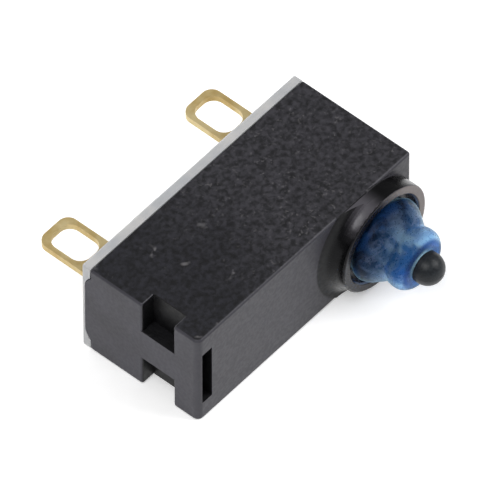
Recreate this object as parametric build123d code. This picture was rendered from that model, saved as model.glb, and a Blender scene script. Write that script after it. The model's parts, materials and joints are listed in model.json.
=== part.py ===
from build123d import *
import os

# Sealed ultra-subminiature snap-action switch, lying on one of its two large faces.
# Case frame, used while modelling: x runs along the case from the plunger end to the notched end,
# y points the way the plunger stands out, with 0 where the case ends and the base begins,
# and z goes up through the depth of the case, with 0 on the large face that the switch lies on.
# Every length is in millimetres.

# Case
CASE_LENGTH = 13.3
CASE_HEIGHT = 5.8
CASE_DEPTH = 5.2
MID_Z = CASE_DEPTH / 2
WALL = 0.75
ROOF = 0.8
CASE_EDGE_R = 0.14
END_EDGE_R = 0.3

# Collar round the boot, and the well that the boot's flange sits in
PLUNGER_X = 2.6
COLLAR_R = 2.58
COLLAR_BORE_R = 2.12
COLLAR_RISE = 0.85
COLLAR_FLARE_R = 0.72
COLLAR_RIM_EASE = 0.09
WELL_FLOOR_Y = CASE_HEIGHT - 0.15

# Fixing notch in the end face, with a web left across its middle
NOTCH_LOW_Y = 2.75
NOTCH_HIGH_Y = 4.45
NOTCH_INSET = 0.75
NOTCH_WEB = 1.7
NOTCH_EDGE_R = 0.1

# Narrow pocket in the plunger face beside the notched end
POCKET_EDGE = 0.25
POCKET_WIDTH = 0.6
POCKET_LENGTH = 3.1
POCKET_INSET = 1.0

# Base and the cavities that it closes
BASE_THICKNESS = 0.5
BASE_PLAN_R = 0.12
BASE_EDGE_R = 0.08
GASKET_THICKNESS = 0.07
GASKET_SETBACK = 0.08
PLINTH_RISE = 0.45
PLINTH_FIT = 0.04
NOTCH_WALL = 0.8
LOW_CAVITY_END = CASE_LENGTH - WALL
LOW_CAVITY_Y = 0.9
CAVITY_END = CASE_LENGTH - NOTCH_INSET - NOTCH_WALL
TONGUE_REACH = 0.33
TONGUE_THICKNESS = 0.35
TONGUE_WIDTH = 4.6
TONGUE_R = 1.0
TONGUE_FIT = 0.03
PAD_RISE = 0.3
PAD_WIDTH = 1.75
PAD_LENGTH = 4.0
PAD_CORNER_R = 0.15
PAD_OFFSET = 2.4

# Terminals outside the base, and the resin round their roots
TERMINAL_PITCH = 4.5
TERMINAL_THICKNESS = 0.3
LUG_WIDTH = 1.9
LUG_REACH = 3.55
LUG_CORNER_R = 0.5
EYE_WIDTH = 1.44
EYE_LENGTH = 1.96
EYE_RIM = 0.3
EYE_CORNER_R = 0.54
STUB_WIDTH = 1.45
STUB_REACH = 0.6
SLOT_FIT = 0.02
SEAL_RISE = 0.18
SEAL_MARGIN = 0.27
SEAL_TAPER = 25

# Terminals inside the case
STRIP_THICKNESS = 0.25
FOOT_LENGTH = 1.5
FOOT_WIDTH = 1.4
SIDE_GAP = 0.1
RAIL_DEPTH = 0.6
HEAD_WIDTH = 1.2
ARM_POST_EDGE = 0.15
LEVER_POST_EDGE = 0.2
POST_STEP_Y = 2.9
BEARING_FIT = 0.14

# Plunger
TIP_R = 0.74
TIP_CENTRE_Y = CASE_HEIGHT + 3.16
HEAD_LENGTH = 0.2
GROOVE_R = 0.62
GROOVE_LENGTH = 0.3
SHAFT_R = 0.6
GUIDE_FIT = 0.03
FLANGE_R = 0.95
FLANGE_THICKNESS = 0.22
FLANGE_GAP = 0.05
NOSE_R = 0.45
NOSE_REACH = 0.3

# Boot: each bend of its skin as (radius, height over the plunger face), and the ring on its flange
BOOT_BENDS = [(1.74, 0.5), (1.97, 0.8), (1.88, 1.18), (1.33, 1.95), (1.42, 2.2), (1.41, 2.62)]
BOOT_ROOT = -0.1
BOOT_WALL = 0.2
BOOT_BEND_R = 0.08
BOOT_LIP_Y = CASE_HEIGHT + 2.92
BOOT_LIP_R = 0.66
BOOT_CROWN_R = 1.16
BOOT_FLANGE_R = 2.08
BOOT_FLANGE_BORE_R = 1.4
BOOT_FLANGE_THICKNESS = 0.26
FLANGE_SEAT_FIT = 0.01
RING_RISE = 0.3
RING_BORE_R = 1.8
RING_R = 2.11

# Snap mechanism
LEVER_THICKNESS = 0.15
LEVER_WIDTH = 2.4
LEVER_PIVOT_X = 10.4
LEVER_TIP_X = 1.9
NOSE_GAP = 0.03
HANGER_X = 8.35
HANGER_WIDTH = 0.5
HANGER_END_Y = 1.75
HANGER_SLOT_LENGTH = 1.9
HANGER_SLOT_WIDTH = 0.6
ARM_THICKNESS = 0.12
ARM_WIDTH = 2.0
ARM_PIVOT_X = 9.9
ARM_Y = 1.9
ARM_TIP_X = 1.7
ARM_WINDOW = (4.3, 9.2)
ARM_WINDOW_WIDTH = 1.04
CONTACT_X = 2.35
CONTACT_R = 0.45
CONTACT_HEAD = 0.25
FIXED_CONTACT_THICKNESS = 0.2
CONTACT_THROW = 0.5
CONTACT_GAP = 0.02
SPRING_WIRE_R = 0.06
SPRING_COIL_R = 0.36
SPRING_START_X = 4.85
SPRING_END_X = 7.65
SPRING_TURNS = 6
SPRING_Y = 2.0
WIRE_SIDES = 8

# Worked out from the values above
BASE_FACE_Y = -BASE_THICKNESS
LUG_END_Y = BASE_FACE_Y - LUG_REACH
TIP_Y = TIP_CENTRE_Y + TIP_R
THROW_X = CASE_LENGTH / 2 - TERMINAL_PITCH
CUT_X = CASE_LENGTH / 2
COMMON_X = CASE_LENGTH / 2 + TERMINAL_PITCH
ROOF_Y = CASE_HEIGHT - ROOF
COLLAR_TOP_Y = CASE_HEIGHT + COLLAR_RISE
FLANGE_TOP_Y = ROOF_Y - FLANGE_GAP
FLANGE_LOW_Y = FLANGE_TOP_Y - FLANGE_THICKNESS
NOSE_Y = FLANGE_LOW_Y - NOSE_REACH
LEVER_Y = NOSE_Y - NOSE_GAP - LEVER_THICKNESS / 2
MOVING_LOW_Y = ARM_Y - ARM_THICKNESS / 2 - CONTACT_HEAD
MOVING_HIGH_Y = ARM_Y + ARM_THICKNESS / 2 + CONTACT_HEAD
THROW_CONTACT_Y = MOVING_LOW_Y - CONTACT_THROW - CONTACT_GAP
CUT_CONTACT_Y = MOVING_HIGH_Y + CONTACT_GAP
PLINTH_X = (WALL + PLINTH_FIT, LOW_CAVITY_END - PLINTH_FIT)
PLINTH_DEPTH = CASE_DEPTH - 2 * (WALL + PLINTH_FIT)

# The row frame's origin is at the middle of the whole outline, on the surface the switch lies on.
TO_ROW = Pos(-CASE_LENGTH / 2, -(LUG_END_Y + TIP_Y) / 2, 0)
PLUNGER_AXIS = Axis((PLUNGER_X, 0, MID_Z), (0, 1, 0))


def block(x, y, z):
    """A box from its (low, high) limits along each axis."""
    size = (x[1] - x[0], y[1] - y[0], z[1] - z[0])
    return Pos(x[0], y[0], z[0]) * Box(*size, align=(Align.MIN,) * 3)


def about(centre, width):
    """The (low, high) limits of a width centred on a point."""
    return (centre - width / 2, centre + width / 2)


def about_middle(width):
    """The (low, high) limits of a width centred in the depth of the case."""
    return about(MID_Z, width)


TERMINAL_Z = about_middle(TERMINAL_THICKNESS)


def turned(outline):
    """A solid of revolution on the plunger's axis, from a closed line of (radius, y) points."""
    face = Pos(PLUNGER_X, 0, MID_Z) * make_face(outline)
    return revolve(face, PLUNGER_AXIS)


def tube(radius, low_y, high_y):
    """A cylinder on the plunger's axis."""
    return turned(Polyline((0, low_y), (radius, low_y), (radius, high_y), (0, high_y), close=True))


def across_base(size, radius, centre_x, low_y, high_y, taper=0):
    """A rounded bar lying on the base, with size along x and z, drawn in by a taper towards low_y."""
    bar = extrude(RectangleRounded(*size, radius), high_y - low_y, taper=taper)
    return Pos(centre_x, high_y, MID_Z) * (Rot(90, 0, 0) * bar)


def collar():
    """The ring that stands up round the boot, with the outside of its rim eased."""
    ring = tube(COLLAR_R, ROOF_Y, COLLAR_TOP_Y)
    return fillet(ring.edges().group_by(Axis.Y)[-1], COLLAR_RIM_EASE)


def collar_flare():
    """The hollow curve that runs the collar out into the plunger face, towards the notched end only."""
    flare_top = CASE_HEIGHT + COLLAR_FLARE_R
    foot_r = COLLAR_R + COLLAR_FLARE_R
    outline = (
        Polyline((0, ROOF_Y), (foot_r, ROOF_Y), (foot_r, CASE_HEIGHT))
        + RadiusArc((foot_r, CASE_HEIGHT), (COLLAR_R, flare_top), COLLAR_FLARE_R)
        + Polyline((COLLAR_R, flare_top), (0, flare_top), (0, ROOF_Y))
    )
    return turned(outline) & block((PLUNGER_X, CASE_LENGTH), (0, flare_top), (0, CASE_DEPTH))


def collar_bore():
    """The well inside the collar, with its mouth eased."""
    return turned(
        Polyline(
            (0, WELL_FLOOR_Y),
            (COLLAR_BORE_R, WELL_FLOOR_Y),
            (COLLAR_BORE_R, COLLAR_TOP_Y - COLLAR_RIM_EASE),
            (COLLAR_BORE_R + COLLAR_RIM_EASE, COLLAR_TOP_Y),
            (0, COLLAR_TOP_Y),
            close=True,
        )
    )


def end_tongue(low_x, fit=0.0):
    """The rounded tongue at each end of the case that closes over the end of the base."""
    width = TONGUE_WIDTH + 2 * fit
    limits_x = (low_x - fit, low_x + TONGUE_THICKNESS + fit)
    tongue = block(limits_x, (-TONGUE_REACH - fit, TONGUE_R), about_middle(width))
    corners = tongue.edges().filter_by(Axis.X).group_by(Axis.Y)[0]
    return fillet(corners, TONGUE_R)


def cut_fixing_notch(shell):
    """The notch taken from the end face, a pocket from each large face, with its mouth's sides eased."""
    inner_x = CASE_LENGTH - NOTCH_INSET
    web = about_middle(NOTCH_WEB)
    for limits_z in ((0, web[0]), (web[1], CASE_DEPTH)):
        shell -= block((inner_x, CASE_LENGTH), (NOTCH_LOW_Y, NOTCH_HIGH_Y), limits_z)
    mouth_edges = shell.edges().filter_by(Axis.Z).group_by(Axis.X)[-1]
    return fillet([edge for edge in mouth_edges if 0 < edge.center().Y < CASE_HEIGHT], NOTCH_EDGE_R)


def make_case():
    shell = block((0, CASE_LENGTH), (0, CASE_HEIGHT), (0, CASE_DEPTH))
    shell = fillet(shell.edges().filter_by(Axis.Z).group_by(Axis.Y)[-1].sort_by(Axis.X)[-1], END_EDGE_R)
    shell = fillet(shell.edges().filter_by(Axis.Z).group_by(Axis.Y)[-1].sort_by(Axis.X)[0], CASE_EDGE_R)
    rims = shell.faces().filter_by(Axis.Z).edges()
    shell = fillet([edge for edge in rims if edge.center().Y > CASE_HEIGHT / 4], CASE_EDGE_R)
    shell = cut_fixing_notch(shell)
    shell += collar()
    shell += collar_flare()
    shell += end_tongue(0)
    shell += end_tongue(CASE_LENGTH - TONGUE_THICKNESS)

    inside = about_middle(CASE_DEPTH - 2 * WALL)
    shell -= block((WALL, CAVITY_END), (0, ROOF_Y), inside)
    shell -= block((WALL, LOW_CAVITY_END), (0, LOW_CAVITY_Y), inside)
    shell -= collar_bore()
    shell -= tube(SHAFT_R + GUIDE_FIT, ROOF_Y, WELL_FLOOR_Y)

    pocket_end = CASE_LENGTH - POCKET_EDGE
    pocket_y = (CASE_HEIGHT - POCKET_INSET, CASE_HEIGHT)
    shell -= block((pocket_end - POCKET_WIDTH, pocket_end), pocket_y, about_middle(POCKET_LENGTH))
    return shell


def terminal_slot(centre_x, width):
    """The slot through the base for one terminal."""
    limits_z = about_middle(TERMINAL_THICKNESS + 2 * SLOT_FIT)
    return block(about(centre_x, width + 2 * SLOT_FIT), (BASE_FACE_Y, PLINTH_RISE), limits_z)


def make_base():
    """The plate that closes the case, with the plinth that locates it and two standing pads outside."""
    size = (CASE_LENGTH, CASE_DEPTH)
    plate = across_base(size, BASE_PLAN_R, CASE_LENGTH / 2, BASE_FACE_Y, -GASKET_THICKNESS)
    base = fillet(plate.faces().sort_by(Axis.Y)[0].edges(), BASE_EDGE_R)
    base += block(PLINTH_X, (-GASKET_THICKNESS, PLINTH_RISE), about_middle(PLINTH_DEPTH))
    for side in (-1, 1):
        pad_x = CASE_LENGTH / 2 + side * PAD_OFFSET
        pad_size = (PAD_WIDTH, PAD_LENGTH)
        base += across_base(pad_size, PAD_CORNER_R, pad_x, BASE_FACE_Y - PAD_RISE, BASE_FACE_Y)
    for centre_x, width in ((THROW_X, LUG_WIDTH), (CUT_X, STUB_WIDTH), (COMMON_X, LUG_WIDTH)):
        base -= terminal_slot(centre_x, width)
    for low_x in (0, CASE_LENGTH - TONGUE_THICKNESS):
        base -= end_tongue(low_x, TONGUE_FIT)
    return base


def make_base_gasket():
    """The thin seal squeezed between the case's rim and the base, round the plinth."""
    inset = TONGUE_THICKNESS + 2 * TONGUE_FIT
    size = (CASE_LENGTH - 2 * inset, CASE_DEPTH - 2 * GASKET_SETBACK)
    ring = across_base(size, BASE_PLAN_R, CASE_LENGTH / 2, -GASKET_THICKNESS, 0)
    return ring - block(PLINTH_X, (-GASKET_THICKNESS, 0), about_middle(PLINTH_DEPTH))


def eyelet_lug(centre_x):
    """The flat solder lug outside the base, with its rounded end and eye, ending at the base's inside."""
    lug = block(about(centre_x, LUG_WIDTH), (LUG_END_Y, PLINTH_RISE), TERMINAL_Z)
    lug = fillet(lug.edges().filter_by(Axis.Z).group_by(Axis.Y)[0], LUG_CORNER_R)
    eye_y = LUG_END_Y + EYE_RIM + EYE_LENGTH / 2
    eye = extrude(RectangleRounded(EYE_WIDTH, EYE_LENGTH, EYE_CORNER_R), TERMINAL_THICKNESS)
    return lug - Pos(centre_x, eye_y, TERMINAL_Z[0]) * eye


def make_throw_terminal():
    """The lug under the plunger end, bent over inside to carry the contact that the arm closes on."""
    foot_top = THROW_CONTACT_Y - FIXED_CONTACT_THICKNESS
    foot_low = foot_top - STRIP_THICKNESS
    limits_x = about(CONTACT_X, FOOT_LENGTH)
    riser = block(limits_x, (PLINTH_RISE, foot_low), TERMINAL_Z)
    foot = block(limits_x, (foot_low, foot_top), about_middle(FOOT_WIDTH))
    return eyelet_lug(THROW_X) + riser + foot


def make_cut_terminal():
    """The middle terminal, cut off short outside, which runs along the side wall and over the arm."""
    side_high = CASE_DEPTH - WALL - SIDE_GAP
    side_z = (side_high - STRIP_THICKNESS, side_high)
    jog_y = (PLINTH_RISE, PLINTH_RISE + STRIP_THICKNESS)
    head_low = CUT_CONTACT_Y + FIXED_CONTACT_THICKNESS
    head_top = head_low + STRIP_THICKNESS
    riser_x = about(CUT_X, STUB_WIDTH)
    head_x = about(CONTACT_X, HEAD_WIDTH)
    stub = block(riser_x, (BASE_FACE_Y - STUB_REACH, jog_y[1]), TERMINAL_Z)
    jog = block(riser_x, jog_y, (TERMINAL_Z[0], side_high))
    riser = block(riser_x, (jog_y[0], head_top), side_z)
    rail = block((head_x[0], riser_x[1]), (head_top - RAIL_DEPTH, head_top), side_z)
    head = block(head_x, (head_low, head_top), (MID_Z - HEAD_WIDTH / 2, side_high))
    return stub + jog + riser + rail + head


def bearing_notch(edge_x, pivot_x, pivot_y):
    """The square V cut in the edge of an upright, for the rounded end of a strip to turn in."""
    apex_x = pivot_x + BEARING_FIT
    half_mouth = apex_x - edge_x
    low_y, high_y = pivot_y - half_mouth, pivot_y + half_mouth
    wedge = make_face(Polyline((edge_x, low_y), (apex_x, pivot_y), (edge_x, high_y), close=True))
    return Pos(0, 0, TERMINAL_Z[0]) * extrude(wedge, TERMINAL_THICKNESS)


def make_common_terminal():
    """The lug at the notched end, with an upright inside that has a bearing notch for each moving strip."""
    arm_edge = ARM_PIVOT_X - ARM_POST_EDGE
    lever_edge = LEVER_PIVOT_X - LEVER_POST_EDGE
    post_top = LEVER_Y + LEVER_POST_EDGE + BEARING_FIT
    upright = block((lever_edge, COMMON_X), (PLINTH_RISE, post_top), TERMINAL_Z)
    upright += block((arm_edge, COMMON_X), (LOW_CAVITY_Y, POST_STEP_Y), TERMINAL_Z)
    upright -= bearing_notch(arm_edge, ARM_PIVOT_X, ARM_Y)
    upright -= bearing_notch(lever_edge, LEVER_PIVOT_X, LEVER_Y)
    return eyelet_lug(COMMON_X) + upright


def make_terminal_seal(centre_x, width):
    """The bead of sealing resin round one terminal where it leaves the base."""
    size = (width + 2 * SEAL_MARGIN, TERMINAL_THICKNESS + 2 * SEAL_MARGIN)
    limits_y = (BASE_FACE_Y - SEAL_RISE, BASE_FACE_Y)
    bead = across_base(size, SEAL_MARGIN, centre_x, *limits_y, SEAL_TAPER)
    return bead - block(about(centre_x, width), limits_y, TERMINAL_Z)


def make_contact_rivet(low_y, high_y):
    """A silver contact head on the line where the arm's contact meets it."""
    return Pos(CONTACT_X, high_y, MID_Z) * (Rot(90, 0, 0) * extrude(Circle(CONTACT_R), high_y - low_y))


def make_plunger():
    """The plunger: a domed tip outside, a groove for the boot, a shaft, and a flange and nose inside."""
    head_y = TIP_CENTRE_Y - HEAD_LENGTH
    nose_half = (NOSE_R**2 - (NOSE_R - NOSE_REACH) ** 2) ** 0.5
    outline = (
        RadiusArc((0, NOSE_Y), (nose_half, FLANGE_LOW_Y), -NOSE_R)
        + Polyline(
            (nose_half, FLANGE_LOW_Y),
            (FLANGE_R, FLANGE_LOW_Y),
            (FLANGE_R, FLANGE_TOP_Y),
            (SHAFT_R, FLANGE_TOP_Y),
            (SHAFT_R, head_y - GROOVE_LENGTH),
            (GROOVE_R, head_y - GROOVE_LENGTH),
            (GROOVE_R, head_y),
            (TIP_R, head_y),
            (TIP_R, TIP_CENTRE_Y),
        )
        + RadiusArc((TIP_R, TIP_CENTRE_Y), (0, TIP_Y), -TIP_R)
        + Line((0, TIP_Y), (0, NOSE_Y))
    )
    return turned(outline)


def make_boot():
    """The rubber boot: a clamped flange, a wide skirt that cones in to a neck, and a ring at the plunger."""
    skin = [(radius, CASE_HEIGHT + height) for radius, height in BOOT_BENDS]
    skin.insert(0, (skin[0][0], CASE_HEIGHT + BOOT_ROOT))
    lining = [(radius - BOOT_WALL, y) for radius, y in reversed(skin)]
    over_lip = [(BOOT_CROWN_R, BOOT_LIP_Y), (BOOT_LIP_R, BOOT_LIP_Y)]
    under_lip = [(radius, y - BOOT_WALL) for radius, y in reversed(over_lip)]
    wall = make_face(Polyline(*skin, *over_lip, *under_lip, *lining, close=True))
    bends = [v for v in wall.vertices() if v.Y > CASE_HEIGHT and v.X > BOOT_LIP_R + BOOT_BEND_R]
    wall = fillet(bends, BOOT_BEND_R)
    flange_low = WELL_FLOOR_Y + FLANGE_SEAT_FIT
    flange_high = flange_low + BOOT_FLANGE_THICKNESS
    flange = tube(BOOT_FLANGE_R, flange_low, flange_high) - tube(BOOT_FLANGE_BORE_R, flange_low, flange_high)
    return revolve(Pos(PLUNGER_X, 0, MID_Z) * wall, PLUNGER_AXIS) + flange


def make_boot_ring():
    """The ring pressed into the collar on top of the boot's flange."""
    low_y = WELL_FLOOR_Y + 2 * FLANGE_SEAT_FIT + BOOT_FLANGE_THICKNESS
    high_y = low_y + RING_RISE
    return tube(RING_R, low_y, high_y) - tube(RING_BORE_R, low_y, high_y)


def strip(low_x, pivot_x, centre_y, thickness, width):
    """A flat strip along x whose pivot end is rounded about its own middle."""
    bar = block((low_x, pivot_x), about(centre_y, thickness), about_middle(width))
    return bar + Pos(pivot_x, centre_y, MID_Z) * Cylinder(thickness / 2, width)


def make_operating_lever():
    """The strip pressed down by the plunger, with a hanger bent down to hold one end of the spring."""
    lever = strip(LEVER_TIP_X, LEVER_PIVOT_X, LEVER_Y, LEVER_THICKNESS, LEVER_WIDTH)
    hanger_x = about(HANGER_X, LEVER_THICKNESS)
    hanger = block(hanger_x, (HANGER_END_Y, LEVER_Y), about_middle(HANGER_WIDTH))
    left_open = block(
        (hanger_x[0] - HANGER_SLOT_LENGTH, hanger_x[0]),
        about(LEVER_Y, LEVER_THICKNESS),
        about_middle(HANGER_SLOT_WIDTH),
    )
    return lever + hanger - left_open


def make_contact_arm():
    """The strip that carries the moving contact, with a window that the spring and the hanger work in."""
    arm = strip(ARM_TIP_X, ARM_PIVOT_X, ARM_Y, ARM_THICKNESS, ARM_WIDTH)
    window = block(ARM_WINDOW, about(ARM_Y, ARM_THICKNESS), about_middle(ARM_WINDOW_WIDTH))
    return arm - window - make_contact_rivet(MOVING_LOW_Y, MOVING_HIGH_Y)


def make_snap_spring():
    """The tension spring between the arm and the lever's hanger."""
    length = SPRING_END_X - SPRING_START_X
    path = Helix(length / SPRING_TURNS, length, SPRING_COIL_R)
    wire = Plane(path @ 0, z_dir=path % 0) * RegularPolygon(SPRING_WIRE_R, WIRE_SIDES)
    return Pos(SPRING_START_X, SPRING_Y, MID_Z) * (Rot(0, 90, 0) * sweep(wire, path))


parts = {
    "case": make_case(),
    "base": make_base(),
    "base_gasket": make_base_gasket(),
    "throw_terminal": make_throw_terminal(),
    "cut_terminal": make_cut_terminal(),
    "common_terminal": make_common_terminal(),
    "throw_terminal_seal": make_terminal_seal(THROW_X, LUG_WIDTH),
    "cut_terminal_seal": make_terminal_seal(CUT_X, STUB_WIDTH),
    "common_terminal_seal": make_terminal_seal(COMMON_X, LUG_WIDTH),
    "throw_contact": make_contact_rivet(THROW_CONTACT_Y - FIXED_CONTACT_THICKNESS, THROW_CONTACT_Y),
    "cut_contact": make_contact_rivet(CUT_CONTACT_Y, CUT_CONTACT_Y + FIXED_CONTACT_THICKNESS),
    "moving_contact": make_contact_rivet(MOVING_LOW_Y, MOVING_HIGH_Y),
    "contact_arm": make_contact_arm(),
    "operating_lever": make_operating_lever(),
    "snap_spring": make_snap_spring(),
    "plunger": make_plunger(),
    "boot": make_boot(),
    "boot_ring": make_boot_ring(),
}

os.makedirs("parts", exist_ok=True)
for node, solid in parts.items():
    export_step(TO_ROW * solid, f"parts/{node}.step")
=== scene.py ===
import json
import math

import bmesh
import bpy
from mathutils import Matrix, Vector


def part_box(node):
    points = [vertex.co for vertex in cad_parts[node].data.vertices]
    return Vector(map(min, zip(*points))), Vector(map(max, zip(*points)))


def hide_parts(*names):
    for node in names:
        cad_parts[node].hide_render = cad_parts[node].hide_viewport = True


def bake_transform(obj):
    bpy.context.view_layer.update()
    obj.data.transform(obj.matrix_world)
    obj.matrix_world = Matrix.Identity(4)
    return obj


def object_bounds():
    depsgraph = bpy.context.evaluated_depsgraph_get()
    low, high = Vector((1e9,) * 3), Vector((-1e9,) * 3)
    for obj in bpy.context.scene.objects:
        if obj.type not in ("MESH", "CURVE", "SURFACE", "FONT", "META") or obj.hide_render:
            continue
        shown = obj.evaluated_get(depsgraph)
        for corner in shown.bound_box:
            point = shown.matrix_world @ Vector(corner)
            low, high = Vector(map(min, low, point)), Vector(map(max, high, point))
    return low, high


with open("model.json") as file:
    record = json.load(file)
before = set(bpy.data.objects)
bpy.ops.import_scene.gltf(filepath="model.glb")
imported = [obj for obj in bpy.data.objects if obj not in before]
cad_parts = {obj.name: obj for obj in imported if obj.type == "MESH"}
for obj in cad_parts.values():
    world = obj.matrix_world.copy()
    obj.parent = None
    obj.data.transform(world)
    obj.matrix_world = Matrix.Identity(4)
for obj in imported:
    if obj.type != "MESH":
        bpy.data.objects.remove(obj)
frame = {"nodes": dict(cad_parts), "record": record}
CAD_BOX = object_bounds()
NODES = frame["nodes"]

# Objects, lamps and the camera are in metres; the materials work in millimetres.
# MM turns a size in millimetres into metres.
MM = 0.001

CENTRE = (CAD_BOX[0] + CAD_BOX[1]) / 2

# Camera, at the photograph's viewing angle
CAMERA_AZIMUTH = 130.9
CAMERA_ELEVATION = 51.2
CAMERA_DISTANCE = 0.7175
CAMERA_LENS = 1259.0
CAMERA_SENSOR = 36.0
CLIP_START, CLIP_END = 0.01, 10.0

# Lamps: name, azimuth, elevation, diameter of the disc, power in watts
LAMP_DISTANCE = 0.30
LAMPS = [
    ("key", 224.0, 42.0, 0.20, 0.58),
    ("fill", 102.0, 60.0, 0.18, 0.45),
    ("rear", 350.0, 12.0, 0.20, 0.36),
]
SKY_STRENGTH = 0.34

WHITE = (1.0, 1.0, 1.0, 1.0)

# Features of the case that its material follows, in millimetres:
# - heights are measured outwards from the plunger face, which lies FACE_OVER_FLANGE above the
#   underside of the boot's flange
# - distances from the end are measured inwards from the notched end
# - radii and distances from the axis are measured from the plunger's axis
# - half sizes are measured from the middle of the part's thickness
FACE_OVER_FLANGE = 0.14
COLLAR_WALL_HEIGHTS = (0.03, 0.80)
COLLAR_RIM_HEIGHT = 0.825
COLLAR_BORE_RADIUS = 2.18
# Across the collar, as X from the axis: where the painted highlight on its crest lies
COLLAR_HIGHLIGHT_FROM_AXIS = (0.3, 1.9)
FLARE_RADIUS = 3.30
FLARE_FADE_RADII = (2.75, 3.1)
NOTCH_FROM_END = (0.03, 0.80)
NOTCH_HEIGHTS = (-3.07, -1.33)
HALF_WEB = 0.84
POCKET_FROM_END = (0.23, 0.87)
POCKET_HEIGHTS = (-1.05, -0.03)
HALF_POCKET = 1.56
# Across the large faces, as X: where the coarse grain of the plunger end fades out, and how far
# from the axis the scuffs of the notched end fade in
GRAIN_FADE_X = (1.5, 7.5)
SCUFFS_FROM_AXIS = (5.0, 6.5)

# On the base, in millimetres: the pads' faces, and the yellowed ring round each terminal's root
PAD_DEPTH = 0.07
HALO_RADIUS, HALO_SOFT = 1.3, 0.6

# The boot, in millimetres. Heights are over the underside of its flange.
BOOT_FLANGE_RADIUS = 2.06
BOOT_FOOT, BOOT_HEAD = 0.01, 3.06
BOOT_SIDES = 72
# Heights over which its colour changes: painted collar shade fading out, wisps with painted
# highlight, darker crown
BOOT_COLLAR_SHADE = (1.1, 2.7)
BOOT_HAZE_AND_HIGHLIGHT = (1.4, 2.7)
BOOT_CROWN = (2.92, 3.05)

# The boot's skin as (radius, height), outside from the flange up, inside back down, then the flange
BOOT_OUTSIDE = [
    (1.74, 0.20),
    (1.74, 0.62),
    (1.97, 0.93),
    (1.88, 1.31),
    (1.33, 2.08),
    (1.42, 2.34),
    (1.41, 2.75),
    (1.16, BOOT_HEAD),
    (0.66, BOOT_HEAD),
]
BOOT_INSIDE = [
    (0.66, 2.88),
    (1.08, 2.87),
    (1.23, 2.68),
    (1.22, 2.40),
    (1.13, 2.12),
    (1.68, 1.25),
    (1.76, 0.95),
    (1.55, 0.68),
    (1.55, 0.20),
]
BOOT_FLANGE = [
    (1.42, 0.26),
    (1.42, BOOT_FOOT),
    (BOOT_FLANGE_RADIUS, BOOT_FOOT),
    (BOOT_FLANGE_RADIUS, 0.25),
    (1.76, 0.26),
]
# Radius of the bends in millimetres, and the steps in each
OUTSIDE_BENDS = (0.16, 5)
INSIDE_BENDS = (0.12, 4)

# The floor is a square a hair below the part, in metres
HALF_FLOOR = 0.6
FLOOR_GAP = 0.00002

# Most of a noise's values lie between these two
NOISE_LOW, NOISE_HIGH = 0.3, 0.7


# ---------------------------------------------------------------- camera and light
def direction(azimuth, elevation):
    """Unit vector from the object towards a camera or lamp; azimuth 0 is on the -Y side."""
    a, e = math.radians(azimuth), math.radians(elevation)
    return Vector((math.sin(a) * math.cos(e), -math.cos(a) * math.cos(e), math.sin(e)))


def aim(obj, azimuth, elevation, distance):
    """Puts a camera or lamp at a distance from the part's centre and points it there."""
    obj.location = CENTRE + direction(azimuth, elevation) * distance
    obj.rotation_mode = "QUATERNION"
    obj.rotation_quaternion = (CENTRE - obj.location).to_track_quat("-Z", "Y")


def link(obj):
    bpy.context.scene.collection.objects.link(obj)
    return obj


def make_camera():
    camera = link(bpy.data.objects.new("camera", bpy.data.cameras.new("camera")))
    camera.data.sensor_width = CAMERA_SENSOR
    camera.data.lens = CAMERA_LENS
    camera.data.clip_start = CLIP_START
    camera.data.clip_end = CLIP_END
    aim(camera, CAMERA_AZIMUTH, CAMERA_ELEVATION, CAMERA_DISTANCE)
    bpy.context.scene.camera = camera


def make_lamp(name, azimuth, elevation, size, power):
    lamp = link(bpy.data.objects.new(name, bpy.data.lights.new(name, "AREA")))
    lamp.data.shape = "DISK"
    lamp.data.size = size
    lamp.data.energy = power
    aim(lamp, azimuth, elevation, LAMP_DISTANCE)


def make_sky():
    world = bpy.data.worlds.new("studio")
    bpy.context.scene.world = world
    world.use_nodes = True
    background = world.node_tree.nodes["Background"].inputs
    background["Color"].default_value = WHITE
    background["Strength"].default_value = SKY_STRENGTH


make_camera()
for lamp in LAMPS:
    make_lamp(*lamp)
make_sky()
bpy.context.scene.view_settings.view_transform = "Standard"


# ---------------------------------------------------------------- node helpers
def put(tree, socket, value):
    """Links a socket to the one that feeds it, or sets it to a constant."""
    if isinstance(value, bpy.types.NodeSocket):
        tree.links.new(value, socket)
    else:
        socket.default_value = value


def node(tree, kind, inputs=None, **settings):
    made = tree.nodes.new(kind)
    for name, value in settings.items():
        setattr(made, name, value)
    for name, value in (inputs or {}).items():
        put(tree, made.inputs[name], value)
    return made


def new_material(name):
    made = bpy.data.materials.new(name)
    made.use_nodes = True
    tree = made.node_tree
    return made, tree, tree.nodes["Principled BSDF"]


def feed(tree, shader, **sockets):
    """Sets or links the shader's sockets; underscores in a name stand for spaces."""
    for name, value in sockets.items():
        put(tree, shader.inputs[name.replace("_", " ")], value)


def rgb(red, green, blue):
    """A shader colour from 0-255 display values."""
    def linear(value):
        v = value / 255
        return v / 12.92 if v <= 0.04045 else ((v + 0.055) / 1.055) ** 2.4

    return (linear(red), linear(green), linear(blue), 1.0)


def maths(tree, operation, a, b=0.0):
    return node(tree, "ShaderNodeMath", {0: a, 1: b}, operation=operation).outputs[0]


def product(tree, first, *others):
    for other in others:
        first = maths(tree, "MULTIPLY", first, other)
    return first


def total(tree, first, *others):
    for other in others:
        first = maths(tree, "ADD", first, other)
    return first


def greater(tree, a, b):
    return maths(tree, "MAXIMUM", a, b)


def distance_from(tree, value, middle):
    return maths(tree, "ABSOLUTE", maths(tree, "SUBTRACT", value, middle))


def ramp(tree, value, low, high, start=0.0, end=1.0):
    """Value spread smoothly from start to end as it goes from low to high."""
    made = node(
        tree,
        "ShaderNodeMapRange",
        {"Value": value, "From Min": low, "From Max": high, "To Min": start, "To Max": end},
        interpolation_type="SMOOTHSTEP",
    )
    return made.outputs["Result"]


def above(tree, value, limit, soft):
    """0 below a limit and 1 over it, with an edge that reaches soft to either side."""
    return ramp(tree, value, limit - soft, limit + soft)


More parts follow.
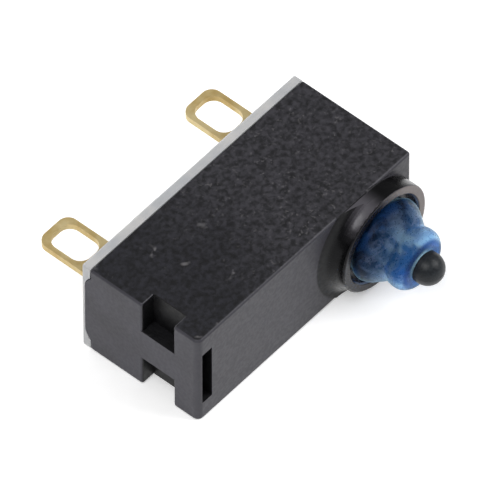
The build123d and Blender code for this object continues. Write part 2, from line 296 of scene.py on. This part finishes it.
def below(tree, value, limit, soft):
    """1 below a limit and 0 over it, with an edge that reaches soft to either side."""
    return ramp(tree, value, limit - soft, limit + soft, 1.0, 0.0)


def between(tree, value, low, high, soft):
    return product(tree, above(tree, value, low, soft), below(tree, value, high, soft))


def millimetres(tree):
    """The surface point in millimetres, in the piece's own space."""
    place = node(tree, "ShaderNodeTexCoord").outputs["Object"]
    inputs = {0: place, "Scale": 1 / MM}
    return node(tree, "ShaderNodeVectorMath", inputs, operation="SCALE").outputs[0]


def vector(tree, operation, a, b):
    return node(tree, "ShaderNodeVectorMath", {0: a, 1: b}, operation=operation).outputs[0]


def separate(tree, point):
    """The x, y and z of a vector."""
    return node(tree, "ShaderNodeSeparateXYZ", {"Vector": point}).outputs


def noise(tree, point, per_mm, detail=2.0, roughness=0.5, distortion=0.0):
    """Fractal noise from 0 to 1 with per_mm waves to the millimetre."""
    inputs = {
        "Vector": point,
        "Scale": per_mm,
        "Detail": detail,
        "Roughness": roughness,
        "Distortion": distortion,
    }
    return node(tree, "ShaderNodeTexNoise", inputs).outputs["Fac"]


def mix_colour(tree, factor, a, b):
    """Colour a where the factor is 0 and b where it is 1."""
    made = node(tree, "ShaderNodeMix", data_type="RGBA")
    # The node has a set of inputs for each data type: 0, 6 and 7 are the factor and the two colours
    for index, value in ((0, factor), (6, a), (7, b)):
        put(tree, made.inputs[index], value)
    return made.outputs[2]


def vary(tree, pattern, start=0.0, end=1.0):
    """A value that a noise spreads from start to end."""
    return ramp(tree, pattern, NOISE_LOW, NOISE_HIGH, start, end)


def mottle(tree, pattern, a, b):
    """Two colours mixed by a noise."""
    return mix_colour(tree, vary(tree, pattern), a, b)


def bump(tree, height, depth_mm):
    inputs = {"Height": height, "Distance": depth_mm * MM}
    return node(tree, "ShaderNodeBump", inputs).outputs["Normal"]


# ---------------------------------------------------------------- materials
def case_masks(tree, point, axis, face_y, end_x):
    """The parts of the case that look different, each as 1 on it and 0 elsewhere."""
    place = separate(tree, point)
    x, y, z = place["X"], place["Y"], place["Z"]

    from_axis = vector(tree, "SUBTRACT", point, (axis.x, 0.0, axis.z))
    flat = vector(tree, "MULTIPLY", from_axis, (1.0, 0.0, 1.0))
    radius = node(tree, "ShaderNodeVectorMath", {0: flat}, operation="LENGTH").outputs["Value"]
    near_collar = below(tree, radius, FLARE_RADIUS, 0.06)
    wall = between(
        tree,
        y,
        face_y + COLLAR_WALL_HEIGHTS[0],
        face_y + COLLAR_WALL_HEIGHTS[1],
        0.02,
    )
    # The flare is only on the notched side of the collar
    notched_side = above(tree, x, axis.x + 0.2, 0.2)
    flare = product(tree, notched_side, above(tree, y, face_y - 0.015, 0.015))
    polished = product(tree, near_collar, greater(tree, wall, flare))

    from_middle = distance_from(tree, z, axis.z)
    notch = product(
        tree,
        between(tree, x, end_x - NOTCH_FROM_END[1], end_x - NOTCH_FROM_END[0], 0.02),
        between(tree, y, face_y + NOTCH_HEIGHTS[0], face_y + NOTCH_HEIGHTS[1], 0.01),
        above(tree, from_middle, HALF_WEB, 0.02),
    )
    pocket = product(
        tree,
        between(tree, x, end_x - POCKET_FROM_END[1], end_x - POCKET_FROM_END[0], 0.01),
        below(tree, y, face_y + POCKET_HEIGHTS[1], 0.02),
        between(tree, y, face_y + POCKET_HEIGHTS[0], face_y, 0.02),
        below(tree, from_middle, HALF_POCKET, 0.02),
    )

    bore = product(
        tree,
        below(tree, radius, COLLAR_BORE_RADIUS, 0.02),
        above(tree, y, face_y, 0.1),
    )
    rim = product(tree, near_collar, above(tree, y, face_y + COLLAR_RIM_HEIGHT, 0.015))
    foot = product(tree, polished, ramp(tree, radius, *FLARE_FADE_RADII))
    return {
        "wall": wall,
        "polished": polished,
        "painted_shade_recess": greater(tree, notch, pocket),
        "bore": bore,
        "rim": rim,
        "foot": foot,
    }


def case_plastic():
    """Black glass-filled plastic: spark-eroded on the two large faces, finer on the sides, and
    polished round the collar. The notch and pocket are painted near black as painted shade."""
    made, tree, shader = new_material("case_plastic")
    boot_low, boot_high = (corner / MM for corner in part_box("boot"))
    axis = (boot_low + boot_high) / 2
    face_y = boot_low.y + FACE_OVER_FLANGE
    end_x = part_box("case")[1].x / MM
    point = millimetres(tree)
    x = separate(tree, point)["X"]
    masks = case_masks(tree, point, axis, face_y, end_x)
    polished, foot = masks["polished"], masks["foot"]
    normal = separate(tree, node(tree, "ShaderNodeNewGeometry").outputs["True Normal"])
    outward, upward = normal["Y"], normal["Z"]
    large_face = ramp(tree, maths(tree, "ABSOLUTE", upward), 0.80, 0.97)

    leather = noise(tree, point, 4.2, detail=3.0, distortion=0.3)
    grain = noise(tree, point, 6.5)
    fine = noise(tree, point, 20.0)
    patches = noise(tree, point, 0.5, detail=3.0, roughness=0.55)

    # The moulding grain is coarser and greyer towards the plunger end
    ragged_x = total(tree, x, product(tree, patches, 6.0))
    plunger_end = ramp(tree, ragged_x, *GRAIN_FADE_X, 1.0, 0.0)
    dark = mix_colour(tree, plunger_end, rgb(11, 11, 14), rgb(19, 19, 22))
    pale = mix_colour(tree, plunger_end, rgb(33, 33, 39), rgb(52, 51, 56))
    top = mix_colour(tree, ramp(tree, leather, 0.28, 0.74), dark, pale)
    rubbing = noise(tree, point, 1.6, detail=3.0, roughness=0.6, distortion=0.4)
    rubbed = ramp(tree, rubbing, 0.45, 0.65)
    specks = product(tree, ramp(tree, grain, 0.54, 0.74), product(tree, rubbed, plunger_end))
    top = mix_colour(tree, product(tree, specks, 0.55), top, rgb(96, 94, 96))

    # The notched end is scuffed
    marks = ramp(tree, noise(tree, point, 1.5, detail=0.0, distortion=0.6), 0.70, 0.82)
    broken = ramp(tree, noise(tree, point, 4.0, detail=1.0), 0.42, 0.66)
    near, far = (axis.x + distance for distance in SCUFFS_FROM_AXIS)
    scuffs = product(tree, marks, broken, ramp(tree, x, near, far))
    top = mix_colour(tree, product(tree, scuffs, 0.6), top, rgb(110, 108, 110))

    # Painted shade: the plunger face, facing +Y, is coloured a little darker than the ends
    side = mottle(tree, patches, rgb(52, 51, 57), rgb(60, 59, 66))
    side = mix_colour(tree, ramp(tree, outward, 0.6, 0.95), side, rgb(47, 46, 52))
    # The large faces are darker than the sides: partly their spark-eroded finish, partly painted
    # shade
    colour = mix_colour(tree, large_face, side, top)

    # Painted light on the collar: a painted highlight along its crest, a painted reflection of the
    # boot's blue in its bore, and a painted highlight on one side of its rim
    near, far = (axis.x + distance for distance in COLLAR_HIGHLIGHT_FROM_AXIS)
    painted_crest_highlight = product(
        tree,
        ramp(tree, upward, 0.45, 0.9),
        between(tree, x, near, far, 0.5),
        masks["wall"],
    )
    # Dark polished colour, with a painted highlight on the crest
    polished_shade_highlight = mix_colour(tree, painted_crest_highlight, rgb(12, 12, 14), rgb(70, 68, 73))
    # The notch and pocket take the same near-black colour as painted shade
    colour = mix_colour(tree, greater(tree, polished, masks["painted_shade_recess"]), colour, polished_shade_highlight)
    # Painted reflection of the boot's blue in the collar's bore
    colour = mix_colour(tree, masks["bore"], colour, rgb(64, 82, 108))
    # Painted highlight on the rim's -X side; its +X side stays dark
    rim_painted_lit_side = below(tree, x, axis.x - 0.4, 1.2)
    rim_painted_light = mix_colour(tree, rim_painted_lit_side, rgb(34, 33, 37), rgb(104, 97, 95))
    colour = mix_colour(tree, masks["rim"], colour, rim_painted_light)

    roughness = total(tree, product(tree, large_face, 0.14), 0.42)
    roughness = total(tree, roughness, vary(tree, grain, -0.06, 0.06))
    roughness = maths(tree, "SUBTRACT", roughness, product(tree, polished, 0.18))
    roughness = total(tree, roughness, product(tree, foot, 0.3))
    mirrored = maths(tree, "SUBTRACT", polished, greater(tree, painted_crest_highlight, foot))

    height = total(tree, leather, product(tree, grain, 0.6), product(tree, fine, 0.06))
    depth = total(tree, product(tree, large_face, 0.85), 0.15)
    depth = product(tree, depth, maths(tree, "SUBTRACT", 1.0, product(tree, polished, 0.8)))
    feed(
        tree,
        shader,
        Base_Color=colour,
        Metallic=product(tree, mirrored, 0.6),
        Roughness=roughness,
        Specular_IOR_Level=0.25,
        Normal=bump(tree, product(tree, height, depth), 0.03),
    )
    return made


def base_plastic():
    """Pale grey, slightly translucent plastic: creamier pads, yellowed where the terminals pass."""
    made, tree, shader = new_material("base_plastic")
    outer_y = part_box("base")[0].y / MM
    point = millimetres(tree)
    y = separate(tree, point)["Y"]
    clouds = noise(tree, point, 0.6, detail=3.0, roughness=0.6, distortion=0.4)
    fine = noise(tree, point, 14.0)
    colour = mottle(tree, clouds, rgb(163, 165, 168), rgb(181, 180, 179))
    pads = below(tree, y, outer_y + PAD_DEPTH, 0.03)
    colour = mix_colour(tree, product(tree, pads, 0.8), colour, rgb(184, 184, 178))
    for terminal in ("throw_terminal", "cut_terminal", "common_terminal"):
        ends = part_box(terminal)
        root = (ends[0] + ends[1]) / 2 / MM
        root.y = outer_y
        inputs = {0: point, 1: root}
        away = node(tree, "ShaderNodeVectorMath", inputs, operation="DISTANCE").outputs["Value"]
        halo = product(tree, below(tree, away, HALO_RADIUS, HALO_SOFT), 0.55)
        colour = mix_colour(tree, halo, colour, rgb(186, 182, 160))
    feed(
        tree,
        shader,
        Base_Color=colour,
        Roughness=vary(tree, fine, 0.34, 0.46),
        Subsurface_Weight=0.35,
        Subsurface_Radius=(1.0, 1.0, 1.1),
        Subsurface_Scale=0.35 * MM,
        Normal=bump(tree, fine, 0.006),
    )
    return made


def rubber(name, light, dark, roughness, specular=0.5):
    """Fine-grained dark rubber or plastic."""
    made, tree, shader = new_material(name)
    fine = noise(tree, millimetres(tree), 12.0, detail=3.0, roughness=0.55)
    feed(
        tree,
        shader,
        Base_Color=mottle(tree, fine, dark, light),
        Roughness=vary(tree, fine, roughness - 0.06, roughness + 0.06),
        Specular_IOR_Level=specular,
        Normal=bump(tree, fine, 0.008),
    )
    return made


def boot_rubber():
    """Translucent blue rubber, cloudy: navy near the flange as painted shade from the collar, paler
    towards the plunger, with a painted soft highlight on its shoulder.
    """
    made, tree, shader = new_material("boot_rubber")
    low, high = (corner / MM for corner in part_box("boot"))
    middle = (low + high) / 2
    # Generated coordinates run from 0 to 1 across the skin and stay on it when it folds, where
    # object coordinates would slide over it. They are turned back into millimetres here.
    width = 2 * BOOT_FLANGE_RADIUS
    size = (width, BOOT_HEAD - BOOT_FOOT, width)
    corner = (middle.x - BOOT_FLANGE_RADIUS, low.y + BOOT_FOOT, middle.z - BOOT_FLANGE_RADIUS)
    place = node(tree, "ShaderNodeTexCoord").outputs["Generated"]
    point = vector(tree, "ADD", vector(tree, "MULTIPLY", place, size), corner)
    y = separate(tree, point)["Y"]
    clouds = noise(tree, point, 1.1, detail=3.0, roughness=0.6, distortion=0.6)
    wisps = noise(tree, point, 1.7, detail=3.0, roughness=0.55, distortion=1.0)
    fine = noise(tree, point, 16.0)

    height = maths(tree, "SUBTRACT", y, low.y)
    # Painted shade: navy near the flange, where the collar shades the root, paler towards the
    # plunger
    out_of_collar_shade = ramp(tree, height, *BOOT_COLLAR_SHADE)
    clear = mix_colour(tree, out_of_collar_shade, rgb(36, 84, 146), rgb(186, 226, 252))
    murky = mix_colour(tree, out_of_collar_shade, rgb(12, 28, 56), rgb(66, 130, 200))
    colour = mix_colour(tree, ramp(tree, clouds, 0.36, 0.62), murky, clear)
    # Pale wisps on the shoulder: partly cloudiness in the rubber, partly a painted soft highlight
    shoulder = between(tree, height, *BOOT_HAZE_AND_HIGHLIGHT, 0.3)
    haze_and_highlight = product(tree, ramp(tree, wisps, 0.50, 0.68), shoulder, 0.45)
    colour = mix_colour(tree, haze_and_highlight, colour, rgb(176, 200, 244))
    crown = ramp(tree, height, *BOOT_CROWN)
    colour = mix_colour(tree, crown, colour, rgb(50, 92, 160))
    feed(
        tree,
        shader,
        Base_Color=colour,
        Roughness=vary(tree, fine, 0.26, 0.40),
        Specular_IOR_Level=0.4,
        IOR=1.15,
        Transmission_Weight=0.8,
        Sheen_Weight=0.6,
        Sheen_Roughness=0.3,
        Sheen_Tint=(0.5, 0.82, 1.0, 1.0),
        Normal=bump(tree, total(tree, clouds, product(tree, fine, 0.15)), 0.03),
    )
    return made


def metal(name, light, dark, roughness, per_mm=10.0, stretch=(1.0, 1.0, 1.0), metallic=1.0):
    """Rolled strip: fine streaks, a little tarnish, and roughness that follows the streaks."""
    made, tree, shader = new_material(name)
    point = millimetres(tree)
    stretched = vector(tree, "MULTIPLY", point, stretch)
    streaks = noise(tree, stretched, per_mm, detail=3.0, roughness=0.6)
    tarnish = noise(tree, point, 0.9, detail=3.0, roughness=0.6)
    feed(
        tree,
        shader,
        Base_Color=mottle(tree, tarnish, dark, light),
        Metallic=metallic,
        Roughness=vary(tree, streaks, roughness - 0.06, roughness + 0.08),
        Normal=bump(tree, streaks, 0.003),
    )
    return made


def seal_resin():
    """Cloudy, pale amber resin."""
    made, tree, shader = new_material("seal_resin")
    clouds = noise(tree, millimetres(tree), 2.5, detail=3.0, roughness=0.6)
    feed(
        tree,
        shader,
        Base_Color=mottle(tree, clouds, rgb(172, 169, 152), rgb(186, 183, 168)),
        Roughness=vary(tree, clouds, 0.18, 0.3),
        Subsurface_Weight=0.4,
        Subsurface_Radius=(1.2, 1.0, 0.7),
        Subsurface_Scale=0.25 * MM,
        Normal=bump(tree, clouds, 0.02),
    )
    return made


# Streaks of the arm and the lever run along their length, X
COARSE = {"per_mm": 6.0, "stretch": (1.0, 6.0, 6.0)}

MATERIALS = {
    "case_plastic": case_plastic(),
    "base_plastic": base_plastic(),
    "ring_plastic": rubber("ring_plastic", rgb(34, 36, 44), rgb(22, 23, 28), 0.3),
    "plunger_plastic": rubber("plunger_plastic", rgb(30, 34, 38), rgb(20, 23, 27), 0.4, 0.25),
    "boot_rubber": boot_rubber(),
    "gasket_rubber": rubber("gasket_rubber", rgb(38, 38, 40), rgb(24, 24, 26), 0.55),
    "seal_resin": seal_resin(),
    "terminal_gold": metal(
        "terminal_gold", rgb(217, 199, 151), rgb(193, 167, 108), 0.5, metallic=0.75
    ),
    "contact_silver": metal("contact_silver", rgb(226, 224, 218), rgb(196, 192, 184), 0.22),
    "arm_copper": metal("arm_copper", rgb(214, 142, 96), rgb(180, 108, 70), 0.3, **COARSE),
    "lever_steel": metal("lever_steel", rgb(196, 198, 202), rgb(160, 162, 168), 0.28, **COARSE),
    "spring_steel": metal("spring_steel", rgb(188, 190, 196), rgb(150, 152, 158), 0.24),
}

for part in frame["record"]["subparts"]:
    slots = NODES[part["node"]].data.materials
    slots.clear()
    slots.append(MATERIALS[part["material_slot"]])


# ---------------------------------------------------------------- boot
def rounded_profile(corners, radius, steps):
    """A line of (radius, height) corners with each inner corner turned into a short curve."""
    most_of_side = 0.48  # so that two bends never meet on the side between them
    points = [corners[0]]
    for before, corner, after in zip(corners, corners[1:], corners[2:]):
        corner = Vector(corner)
        to_before, to_after = Vector(before) - corner, Vector(after) - corner
        reach = min(radius, to_before.length * most_of_side, to_after.length * most_of_side)
        start = corner + to_before.normalized() * reach
        end = corner + to_after.normalized() * reach
        for step in range(steps + 1):
            t = step / steps
            points.append(tuple(start * (1 - t) ** 2 + corner * 2 * t * (1 - t) + end * t**2))
    points.append(corners[-1])
    return points


def lathe(name, profile, axis_x, axis_z, sides):
    """A closed ring of (radius, y) points, in metres, turned about a line along Y."""
    turned = bmesh.new()
    rings = []
    for radius, y in profile:
        ring = []
        for side in range(sides):
            angle = 2 * math.pi * side / sides
            x = axis_x + radius * math.cos(angle)
            z = axis_z + radius * math.sin(angle)
            ring.append(turned.verts.new((x, y, z)))
        rings.append(ring)
    for lower, upper in zip(rings, rings[1:] + rings[:1]):
        for side in range(sides):
            beyond = (side + 1) % sides
            turned.faces.new((lower[side], lower[beyond], upper[beyond], upper[side]))
    bmesh.ops.recalc_face_normals(turned, faces=turned.faces)
    for face in turned.faces:
        face.smooth = True
    mesh = bpy.data.meshes.new(name)
    turned.to_mesh(mesh)
    turned.free()
    return link(bpy.data.objects.new(name, mesh))


def make_boot():
    low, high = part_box("boot")
    middle = (low + high) / 2
    outline = rounded_profile(BOOT_OUTSIDE, *OUTSIDE_BENDS)
    outline += rounded_profile(BOOT_INSIDE, *INSIDE_BENDS)
    outline += BOOT_FLANGE
    profile = [(radius * MM, low.y + height * MM) for radius, height in outline]
    boot = lathe("boot_skin", profile, middle.x, middle.z, BOOT_SIDES)
    boot.data.materials.append(MATERIALS["boot_rubber"])
    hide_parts("boot")
    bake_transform(boot)


make_boot()


# ---------------------------------------------------------------- floor
def make_floor():
    made, tree, shader = new_material("floor_white")
    paper = noise(tree, millimetres(tree), 1.5, detail=3.0, roughness=0.6)
    feed(
        tree,
        shader,
        Base_Color=mottle(tree, paper, rgb(246, 246, 246), rgb(249, 249, 249)),
        Roughness=0.8,
        Emission_Color=WHITE,
        Emission_Strength=0.3,
    )
    mesh = bpy.data.meshes.new("floor")
    corners = [(x * HALF_FLOOR, y * HALF_FLOOR, 0) for x, y in ((-1, -1), (1, -1), (1, 1), (-1, 1))]
    mesh.from_pydata(corners, [], [(0, 1, 2, 3)])
    floor = link(bpy.data.objects.new("floor", mesh))
    floor.location.z = CAD_BOX[0].z - FLOOR_GAP
    mesh.materials.append(made)


make_floor()
